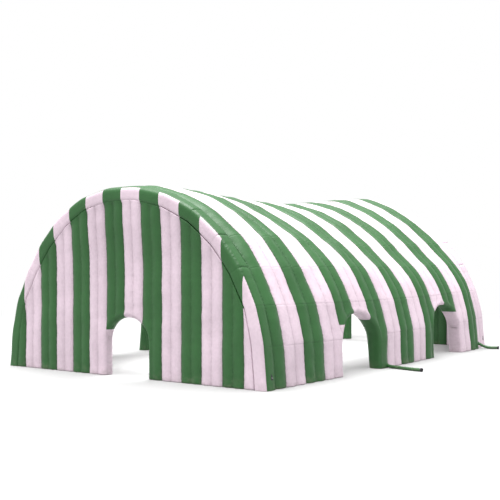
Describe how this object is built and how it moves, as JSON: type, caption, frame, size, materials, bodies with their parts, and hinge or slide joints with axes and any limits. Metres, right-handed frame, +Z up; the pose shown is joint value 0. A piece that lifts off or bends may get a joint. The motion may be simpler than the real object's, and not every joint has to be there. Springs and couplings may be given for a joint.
{
  "type": "inflatable tunnel tent",
  "caption": "Inflatable tunnel tent with striped air-filled arches, closed gable ends, arched doorways in the ends and sides, and two inflation sleeves.",
  "frame": {"origin": "on the ground, at the middle of the tent's footprint", "axes": "+Y runs along the tunnel from the front gable to the rear one, +X is towards the side that the sleeves leave, and +Z is up"},
  "size_m": [13.7457, 18, 7.0991],
  "materials": {
    "green_fabric": "satin",
    "white_fabric": "satin",
    "black_webbing": "matte",
    "steel": "satin"
  },
  "bodies": {
    "tent": {"band_01": "green_fabric", "band_02": "white_fabric", "band_03": "green_fabric", "band_04": "white_fabric", "band_05": "green_fabric", "band_06": "white_fabric", "band_07": "green_fabric", "band_08": "white_fabric", "band_09": "green_fabric", "band_10": "white_fabric", "band_11": "green_fabric", "band_12": "white_fabric", "band_13": "green_fabric", "band_14": "white_fabric", "band_15": "green_fabric", "band_16": "white_fabric", "front_arch_tube": "green_fabric", "rear_arch_tube": "white_fabric", "front_gable_01": "green_fabric", "front_gable_02": "white_fabric", "front_gable_03": "green_fabric", "front_gable_04": "white_fabric", "front_gable_05": "green_fabric", "front_gable_06": "white_fabric", "front_gable_07": "green_fabric", "front_gable_08": "white_fabric", "front_gable_09": "green_fabric", "front_gable_10": "white_fabric", "front_gable_11": "green_fabric", "front_gable_12": "white_fabric", "front_gable_13": "green_fabric", "front_gable_14": "white_fabric", "rear_gable_01": "green_fabric", "rear_gable_02": "white_fabric", "rear_gable_03": "green_fabric", "rear_gable_04": "white_fabric", "rear_gable_05": "green_fabric", "rear_gable_06": "white_fabric", "rear_gable_07": "green_fabric", "rear_gable_08": "white_fabric", "rear_gable_09": "green_fabric", "rear_gable_10": "white_fabric", "rear_gable_11": "green_fabric", "rear_gable_12": "white_fabric", "rear_gable_13": "green_fabric", "rear_gable_14": "white_fabric", "sleeve_1": "green_fabric", "sleeve_cuff_1": "black_webbing", "sleeve_2": "green_fabric", "sleeve_cuff_2": "black_webbing", "anchor_patch_front_right": "black_webbing", "anchor_patch_front_left": "black_webbing", "anchor_patch_rear_right": "black_webbing", "anchor_patch_rear_left": "black_webbing", "release_zip": "black_webbing"},
    "ring_front_right": {"anchor_ring_front_right": "steel"},
    "ring_front_left": {"anchor_ring_front_left": "steel"},
    "ring_rear_right": {"anchor_ring_rear_right": "steel"},
    "ring_rear_left": {"anchor_ring_rear_left": "steel"},
    "zip_slider": {"zip_slider": "steel"}
  },
  "joints": [
    {"name": "ring_front_right_swing", "type": "hinge", "parent": "tent", "child": "ring_front_right", "pos_m": [5.97574, -8.715, 0.41957], "axis": [0, -1, 0], "range_deg": [0, 150]},
    {"name": "ring_front_left_swing", "type": "hinge", "parent": "tent", "child": "ring_front_left", "pos_m": [-5.97574, -8.715, 0.41957], "axis": [0, 1, 0], "range_deg": [0, 150]},
    {"name": "ring_rear_right_swing", "type": "hinge", "parent": "tent", "child": "ring_rear_right", "pos_m": [5.97574, 8.715, 0.41957], "axis": [0, -1, 0], "range_deg": [0, 150]},
    {"name": "ring_rear_left_swing", "type": "hinge", "parent": "tent", "child": "ring_rear_left", "pos_m": [-5.97574, 8.715, 0.41957], "axis": [0, 1, 0], "range_deg": [0, 150]},
    {"name": "zip_slide", "type": "slide", "parent": "tent", "child": "zip_slider", "axis": [0.0944, 0, 0.9955], "range_m": [0, 0.93]}
  ]
}
